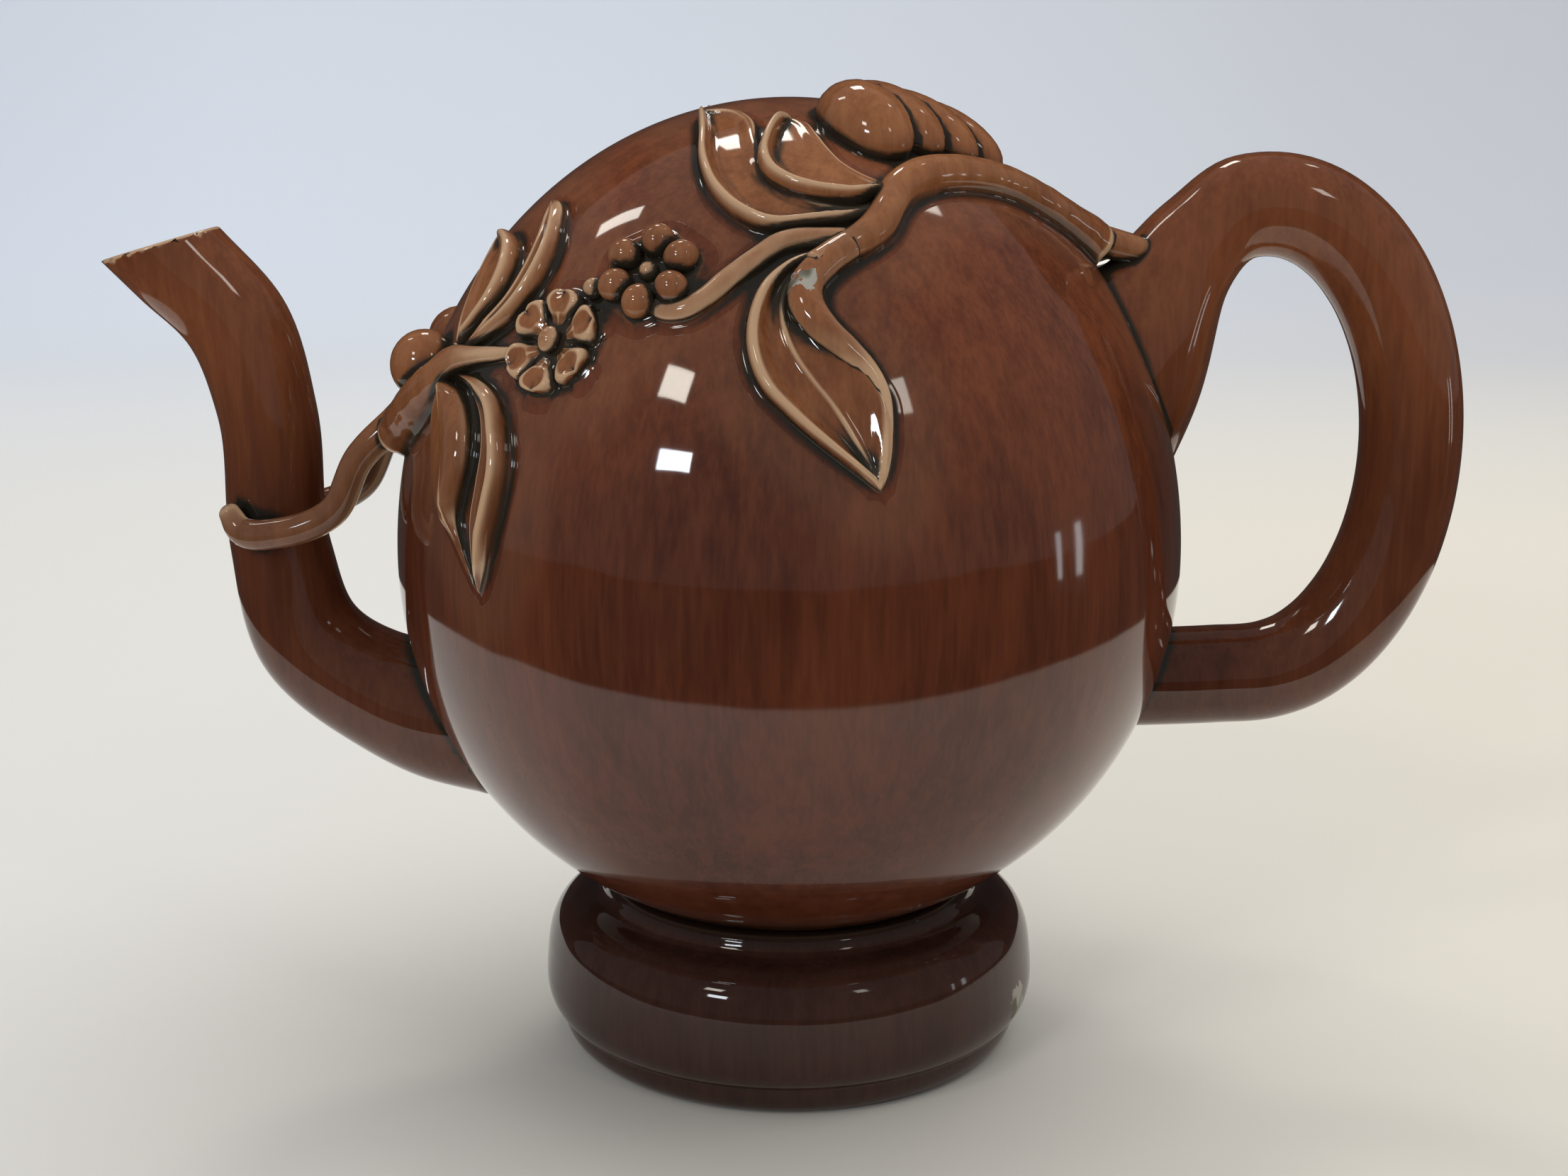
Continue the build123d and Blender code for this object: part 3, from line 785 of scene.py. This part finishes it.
def measureGlaze():
    everything = clayTree(pieces.values())
    sprigs = clayTree(piece for node, piece in pieces.items() if node not in neckShadePool)
    rays = fanOfRays()
    far = glazeReach["halo"] * mm
    for node, piece in pieces.items():
        plain = node in neckShadePool
        bm = bmesh.new()
        bm.from_mesh(piece.data)
        bm.normal_update()
        poolShades, edges, halos, skirts = [], [], [], []
        for vert in bm.verts:
            away = 0.0
            if plain:
                found = sprigs.find_nearest(vert.co, far)
                away = found[3] if found[0] is not None else far
            poolShade = 0.0
            # painted shade and pooled glaze: rays that meet nearby clay darken the glaze
            if away < glazeReach["near"] * mm:
                normal = outwardAt(vert.co) if plain and node != "foot_ring" else vert.normal
                poolShade = shareHit(everything, vert.co, normal, rays)
            if plain:
                # painted shade at the neck, under the belly
                poolShade += 0.13 * easing(vert.co.z, *neckShadePool[node])
            poolShades.append(poolShade)
            halos.append(1 - away / far if plain else 0.0)
            bends = [0.0]
            for edge in vert.link_edges:
                gap = edge.other_vert(vert).co - vert.co
                bends.append(-2 * gap.dot(vert.normal) * mm / max(gap.length_squared, (0.12 * mm) ** 2))
            bend = min(max(bends), 4.0)
            skirt = 0.0
            if node.startswith(("front", "back", "crown")):
                height = heightOverPot(vert.co)
                skirt = 1 - easing(height, 0.04, 0.5)
                bend *= easing(height, 0.2, 0.6)
            skirts.append(skirt)
            edges.append(bend)
        linked = [[edge.other_vert(vert).index for edge in vert.link_edges] for vert in bm.verts]
        for smoothing in range(2):
            edges = [
                0.5 * bend + 0.5 * sum(edges[other] for other in others) / max(len(others), 1)
                for bend, others in zip(edges, linked)
            ]
        bm.free()
        for word, values in (("poolShade", poolShades), ("edge", edges), ("halo", halos), ("skirt", skirts)):
            layer = piece.data.attributes.new(word, "FLOAT", "POINT")
            layer.data.foreach_set("value", values)


measureGlaze()
print("glaze measured")


# materials
def paint(*values):  # a colour as seen, made linear
    shares = [value / 255 for value in values]
    return (*(((share + 0.055) / 1.055) ** 2.4 for share in shares), 1.0)


def addNode(tree, kind, **settings):
    node = tree.nodes.new(kind)
    for word, value in settings.items():
        setattr(node, word, value)
    return node


def glazeGroup():
    tree = bpy.data.node_groups.new("leadGlaze", "ShaderNodeTree")
    for word, kind, value in (
        ("Deep", "Color", paint(70, 30, 18)),
        ("Bright", "Color", paint(124, 66, 40)),
        ("Pot deep", "Color", paint(84, 41, 26)),
        ("Pot bright", "Color", paint(147, 83, 52)),
        ("Thin", "Color", paint(214, 176, 140)),
        # one dark colour for pooled glaze and for painted shade
        ("Pooled shade", "Color", paint(34, 36, 30)),
        ("Clay dark", "Color", paint(96, 92, 74)),
        ("Clay pale", "Color", paint(176, 170, 158)),
        ("Chip place", "Vector", (0.0, 0.0, 0.0)),
        ("Chip size", "Float", 0.0),
        ("Streak", "Float", 1.0),
        ("Edge low", "Float", 0.3),
        ("Edge high", "Float", 1.2),
    ):
        socket = tree.interface.new_socket(word, in_out="INPUT", socket_type="NodeSocket" + kind)
        socket.default_value = value
    for word, kind in (("Colour", "Color"), ("Roughness", "Float"), ("Height", "Float")):
        tree.interface.new_socket(word, in_out="OUTPUT", socket_type="NodeSocket" + kind)
    entry, leave = addNode(tree, "NodeGroupInput"), addNode(tree, "NodeGroupOutput")
    coords = addNode(tree, "ShaderNodeTexCoord")
    wire = tree.links.new

    def noiseAt(scale, stretch, detail, rough):
        mapping = addNode(tree, "ShaderNodeMapping")
        mapping.inputs["Scale"].default_value = stretch
        wire(coords.outputs["Object"], mapping.inputs["Vector"])
        grain = addNode(tree, "ShaderNodeTexNoise")
        grain.inputs["Scale"].default_value = scale
        grain.inputs["Detail"].default_value = detail
        grain.inputs["Roughness"].default_value = rough
        wire(mapping.outputs["Vector"], grain.inputs["Vector"])
        return grain.outputs["Fac"]

    def span(value, low, high, toLow=0.0, toHigh=1.0):
        node = addNode(tree, "ShaderNodeMapRange", interpolation_type="SMOOTHSTEP")
        for word, number in (("From Min", low), ("From Max", high), ("To Min", toLow), ("To Max", toHigh)):
            if hasattr(number, "is_output"):
                wire(number, node.inputs[word])
            else:
                node.inputs[word].default_value = number
        wire(value, node.inputs["Value"])
        return node.outputs["Result"]

    def maths(operation, one, two):
        node = addNode(tree, "ShaderNodeMath", operation=operation)
        for index, value in enumerate((one, two)):
            if hasattr(value, "is_output"):
                wire(value, node.inputs[index])
            else:
                node.inputs[index].default_value = value
        return node.outputs[0]

    def plus(one, two):
        return maths("ADD", one, two)

    def times(one, two):
        return maths("MULTIPLY", one, two)

    def blend(factor, one, two):
        node = addNode(tree, "ShaderNodeMix", data_type="RGBA")
        wire(factor, node.inputs["Factor"])
        wire(one, node.inputs[6])
        wire(two, node.inputs[7])
        return node.outputs[2]

    def measured(word):
        node = addNode(tree, "ShaderNodeAttribute", attribute_name=word, attribute_type="GEOMETRY")
        return node.outputs["Fac"]

    fine = noiseAt(1500.0, (1.0, 1.0, 0.06), 3.0, 0.6)
    broad = noiseAt(420.0, (1.0, 1.0, 0.12), 2.0, 0.5)
    cloud = noiseAt(38.0, (1.0, 1.0, 0.6), 2.0, 0.5)
    ragged = noiseAt(480.0, (1.0, 1.0, 1.0), 2.0, 0.6)
    patches = noiseAt(260.0, (1.0, 1.0, 1.0), 1.0, 0.5)
    inputs = entry.outputs

    # streaks that ran down the pot, over soft clouds
    streak = times(span(plus(times(fine, 0.45), times(broad, 0.55)), 0.3, 0.7), inputs["Streak"])
    mottle = plus(times(streak, 0.55), times(span(cloud, 0.2, 0.8), 0.45))
    skirt = measured("skirt")
    deepest = blend(skirt, inputs["Deep"], inputs["Pot deep"])
    brightest = blend(skirt, inputs["Bright"], inputs["Pot bright"])
    upper = blend(mottle, deepest, brightest)

    # darker low on the pot: painted shade where the light from above falls less, together with thicker glaze
    # that ran down
    split = addNode(tree, "ShaderNodeSeparateXYZ")
    wire(coords.outputs["Object"], split.inputs["Vector"])
    low = addNode(tree, "ShaderNodeMix", data_type="RGBA", blend_type="MULTIPLY")
    low.inputs["Factor"].default_value = 1.0
    low.inputs[7].default_value = (0.54, 0.51, 0.55, 1.0)
    wire(upper, low.inputs[6])
    colour = blend(span(split.outputs["Z"], 0.082, 0.128), low.outputs[2], upper)

    # thin on sharp edges and round the sprigs; pooled glaze with painted shade in corners and at the neck
    thin = span(measured("edge"), inputs["Edge low"], inputs["Edge high"])
    colour = blend(times(thin, 0.85), colour, inputs["Thin"])
    colour = blend(times(span(measured("halo"), 0.2, 0.85), 0.05), colour, inputs["Thin"])
    # pooled glaze and painted shade darken the colour here
    uneven = times(maths("SUBTRACT", broad, 0.5), 0.08)
    pooledShade = span(plus(measured("poolShade"), uneven), 0.06, 0.22)
    colour = blend(times(pooledShade, 0.94), colour, inputs["Pooled shade"])

    # a chip through the glaze, where bare clay shows grey
    away = addNode(tree, "ShaderNodeVectorMath", operation="DISTANCE")
    wire(coords.outputs["Object"], away.inputs[0])
    wire(inputs["Chip place"], away.inputs[1])
    uneven = times(maths("SUBTRACT", ragged, 0.5), 0.007)
    inside = maths("SUBTRACT", inputs["Chip size"], plus(away.outputs["Value"], uneven))
    chip = span(inside, 0.0, 0.00015)
    clay = blend(span(patches, 0.42, 0.56), inputs["Clay dark"], inputs["Clay pale"])
    wire(blend(chip, colour, clay), leave.inputs["Colour"])
    wire(plus(span(cloud, 0.2, 0.8, 0.035, 0.075), times(chip, 0.45)), leave.inputs["Roughness"])
    ripple = noiseAt(95.0, (1.0, 1.0, 0.8), 1.0, 0.4)
    wire(ripple, leave.inputs["Height"])
    return tree


leadGlaze = glazeGroup()


def finish(deep, bright, streak, edgeLow, edgeHigh):
    edges = {"Edge low": edgeLow, "Edge high": edgeHigh}  # bends in 1/mm that the glaze thins over
    return {"Deep": paint(*deep), "Bright": paint(*bright), "Streak": streak, **edges}


finishes = {
    "bodyGlaze": finish((96, 50, 31), (144, 86, 54), 0.8, 0.55, 1.5),
    "shellGlaze": finish((84, 41, 26), (147, 83, 52), 0.8, 90.0, 99.0),
    "sprigGlaze": finish((112, 62, 37), (178, 118, 76), 0.7, 0.35, 0.95),
    "footGlaze": finish((66, 40, 31), (102, 67, 52), 0.8, 0.55, 1.5),
    "insideGlaze": finish((70, 34, 22), (110, 62, 40), 0.6, 0.3, 1.2),
}
worn = {
    "body_upper_shell": "shellGlaze",
    "body_lower_shell": "shellGlaze",
    "foot_ring": "footGlaze",
    "spout": "bodyGlaze",
    "handle": "bodyGlaze",
}
chips = {
    "footGlaze": (Vector((36.0, -15.9, 9.2)) * mm, 0.0031),
    "sprigGlaze": (onPot(88.2, 39.6, front, 3.0), 0.0016),
}
materials = {}
for word, values in finishes.items():
    material = bpy.data.materials.new(word)
    material.use_nodes = True
    tree = material.node_tree
    shader = tree.nodes["Principled BSDF"]
    duller = word == "footGlaze"
    shader.inputs["IOR"].default_value = 1.42 if duller else 1.55
    shader.inputs["Coat Weight"].default_value = 0.0 if duller else 0.12
    shader.inputs["Coat Roughness"].default_value = 0.02
    shader.inputs["Coat IOR"].default_value = 1.55
    group = addNode(tree, "ShaderNodeGroup")
    group.node_tree = leadGlaze
    for name, value in values.items():
        group.inputs[name].default_value = value
    if word in chips:
        group.inputs["Chip place"].default_value, group.inputs["Chip size"].default_value = chips[word]
    bump = addNode(tree, "ShaderNodeBump")
    bump.inputs["Strength"].default_value = 0.25
    bump.inputs["Distance"].default_value = 0.0004
    tree.links.new(group.outputs["Colour"], shader.inputs["Base Color"])
    tree.links.new(group.outputs["Roughness"], shader.inputs["Roughness"])
    tree.links.new(group.outputs["Height"], bump.inputs["Height"])
    tree.links.new(bump.outputs["Normal"], shader.inputs["Normal"])
    materials[word] = material

for node, piece in pieces.items():
    piece.data.materials.clear()
    piece.data.materials.append(materials[worn.get(node, "sprigGlaze")])
for name, node in frame["nodes"].items():
    if name not in pieces:
        node.data.materials.clear()
        node.data.materials.append(materials["insideGlaze"])
print("glazes made")


# stage: a pale table, a pale room and a few ceiling panels
stage = {
    # painted light and shade: the table's four tints, darker far right and warmer near right, copy how the
    # room's light fell on it
    "tableNear": (paint(235, 232, 226), paint(235, 228, 214)),
    "tableFar": (paint(227, 234, 245), paint(208, 211, 218)),
    "tableTurns": {"tableNear": (-0.12, 0.16), "tableFar": (-0.4, 0.4)},  # where left becomes right
    "farFrom": (0.4, 1.1),  # where near becomes far
    "mirroredTo": (0.262, 0.268),  # the table's edge, as the pot's reflections show it
    "beyondTable": (0.035, 0.033, 0.032, 1.0),
    "roomTop": paint(208, 213, 223),
    "roomDim": 0.16,
    "roomLight": 0.34,
    "ceiling": {"place": (0.35, 0.35, 1.35), "size": 2.0, "brightness": 1.24},
}
panels = [  # bearing round the pot, elevation, distance, width, height, brightness, colour
    (-124, 23, 1.9, 0.30, 0.15, 26, (0.86, 0.93, 1.0)),
    (-130, 39, 2.2, 0.32, 0.26, 13, (1.0, 0.95, 0.84)),
    (-52, 37, 2.2, 0.19, 0.30, 6, (1.0, 0.95, 0.84)),
    (148, 50, 2.0, 0.13, 0.34, 8, (1.0, 0.95, 0.86)),
    (100, 55, 2.0, 0.40, 0.30, 9, (1.0, 0.95, 0.86)),
    (-12, -3, 0.8, 0.022, 0.12, 3.5, (0.92, 0.96, 1.0)),
    (-5, -3, 0.8, 0.03, 0.13, 3.5, (0.92, 0.96, 1.0)),
    (34, 56, 2.0, 0.12, 0.16, 6, (1.0, 0.95, 0.86)),
]


def tableSheet():
    bm = bmesh.new()
    outline = [(-1.6, 0.0), (0.9, 0.0)]
    for degrees in range(6, 91, 6):
        angle = math.radians(degrees)
        outline.append((0.9 + 0.5 * math.sin(angle), 0.5 - 0.5 * math.cos(angle)))
    outline.append((1.4, 1.6))
    verts = [bm.verts.new((-2.2, y, z)) for y, z in outline]
    edges = [bm.edges.new(pair) for pair in zip(verts, verts[1:])]
    grown = bmesh.ops.extrude_edge_only(bm, edges=edges)
    moved = [item for item in grown["geom"] if isinstance(item, bmesh.types.BMVert)]
    bmesh.ops.translate(bm, vec=(4.4, 0, 0), verts=moved)
    for face in bm.faces:
        face.smooth = True
        if face.normal.z < 0 or face.normal.y > 0.5:
            face.normal_flip()
    mesh = bpy.data.meshes.new("paleTable")
    bm.to_mesh(mesh)
    bm.free()
    return mesh


def tableTop():
    material = bpy.data.materials.new("paleTop")
    material.use_nodes = True
    tree = material.node_tree
    wire = tree.links.new
    shader = tree.nodes["Principled BSDF"]
    shader.inputs["Roughness"].default_value = 0.7
    shader.inputs["Specular IOR Level"].default_value = 0.2

    def ranged(value, low, high):
        node = addNode(tree, "ShaderNodeMapRange")
        node.inputs["From Min"].default_value = low
        node.inputs["From Max"].default_value = high
        wire(value, node.inputs["Value"])
        return node.outputs["Result"]

    coords = addNode(tree, "ShaderNodeTexCoord")
    split = addNode(tree, "ShaderNodeSeparateXYZ")
    wire(coords.outputs["Object"], split.inputs["Vector"])
    # painted light and shade on the table, mixed into its tint
    tint = addNode(tree, "ShaderNodeMix", data_type="RGBA")
    for name, socket in (("tableNear", 6), ("tableFar", 7)):
        pair = addNode(tree, "ShaderNodeMix", data_type="RGBA")
        pair.inputs[6].default_value, pair.inputs[7].default_value = stage[name]
        wire(ranged(split.outputs["X"], *stage["tableTurns"][name]), pair.inputs["Factor"])
        wire(pair.outputs[2], tint.inputs[socket])
    wire(ranged(split.outputs["Y"], *stage["farFrom"]), tint.inputs["Factor"])
    # away from the pot the table ends for its reflections, as the real one does
    shift = addNode(tree, "ShaderNodeMapping")
    shift.inputs["Location"].default_value = (0.0, -0.10, 0.0)
    wire(coords.outputs["Object"], shift.inputs["Vector"])
    length = addNode(tree, "ShaderNodeVectorMath", operation="LENGTH")
    wire(shift.outputs["Vector"], length.inputs[0])
    path = addNode(tree, "ShaderNodeLightPath")
    onlyGlossy = addNode(tree, "ShaderNodeMath", operation="MULTIPLY")
    wire(ranged(length.outputs["Value"], *stage["mirroredTo"]), onlyGlossy.inputs[0])
    wire(path.outputs["Is Glossy Ray"], onlyGlossy.inputs[1])
    dim = addNode(tree, "ShaderNodeMix", data_type="RGBA")
    dim.inputs[7].default_value = stage["beyondTable"]
    wire(onlyGlossy.outputs[0], dim.inputs["Factor"])
    wire(tint.outputs[2], dim.inputs[6])
    wire(dim.outputs[2], shader.inputs["Base Color"])
    return material


def layStage():
    mesh = tableSheet()
    mesh.materials.append(tableTop())
    table = bpy.data.objects.new("paleTable", mesh)
    bpy.context.scene.collection.objects.link(table)


def lampAt(name, place, aim, width, height, brightness, colour):
    lamp = bpy.data.lights.new(name, "AREA")
    lamp.shape = "RECTANGLE"
    lamp.size, lamp.size_y = width, height
    lamp.energy = brightness * math.pi * width * height
    lamp.color = colour
    holder = bpy.data.objects.new(name, lamp)
    holder.location = place
    holder.rotation_euler = aim.to_track_quat("Z", "Y").to_euler()
    bpy.context.scene.collection.objects.link(holder)
    return holder


def lightRoom():
    world = bpy.data.worlds.new("paleRoom")
    bpy.context.scene.world = world
    world.use_nodes = True
    tree = world.node_tree
    wire = tree.links.new
    light = tree.nodes["Background"]
    seen = addNode(tree, "ShaderNodeBackground")
    mirrored = addNode(tree, "ShaderNodeBackground")
    for node, colour, strength in (
        (light, (0.94, 0.97, 1.0, 1.0), stage["roomLight"]),
        (seen, stage["roomTop"], 1.0),
        (mirrored, (0.9, 0.95, 1.0, 1.0), stage["roomDim"]),
    ):
        node.inputs["Color"].default_value = colour
        node.inputs["Strength"].default_value = strength
    path = addNode(tree, "ShaderNodeLightPath")
    first = addNode(tree, "ShaderNodeMixShader")
    second = addNode(tree, "ShaderNodeMixShader")
    wire(path.outputs["Is Glossy Ray"], first.inputs["Fac"])
    wire(light.outputs[0], first.inputs[1])
    wire(mirrored.outputs[0], first.inputs[2])
    wire(path.outputs["Is Camera Ray"], second.inputs["Fac"])
    wire(first.outputs[0], second.inputs[1])
    wire(seen.outputs[0], second.inputs[2])
    wire(second.outputs[0], tree.nodes["World Output"].inputs["Surface"])
    ceiling = stage["ceiling"]
    place, size = Vector(ceiling["place"]), ceiling["size"]
    lampAt("ceiling", place, place, size, size, ceiling["brightness"], (1.0, 1.0, 1.0)).visible_glossy = False
    for index, (bearing, rise, distance, width, height, brightness, colour) in enumerate(panels):
        turn, climb = math.radians(bearing), math.radians(rise)
        toward = Vector((math.cos(climb) * math.cos(turn), math.cos(climb) * math.sin(turn), math.sin(climb)))
        place = Vector((0, 0, 0.09)) + toward * distance
        lampAt(f"panel{index}", place, toward, width, height, brightness, colour)


def setCamera():
    camera = bpy.data.cameras.new("photoView")
    camera.lens = 48.82
    camera.sensor_width = 36.0
    holder = bpy.data.objects.new("photoView", camera)
    holder.location = (-0.0008, -0.330, 0.1499)
    holder.rotation_euler = (math.radians(90 - 13.08), 0, 0)
    bpy.context.scene.collection.objects.link(holder)
    bpy.context.scene.camera = holder


layStage()
lightRoom()
setCamera()
bpy.context.scene.view_settings.view_transform = "Standard"
print("stage set")
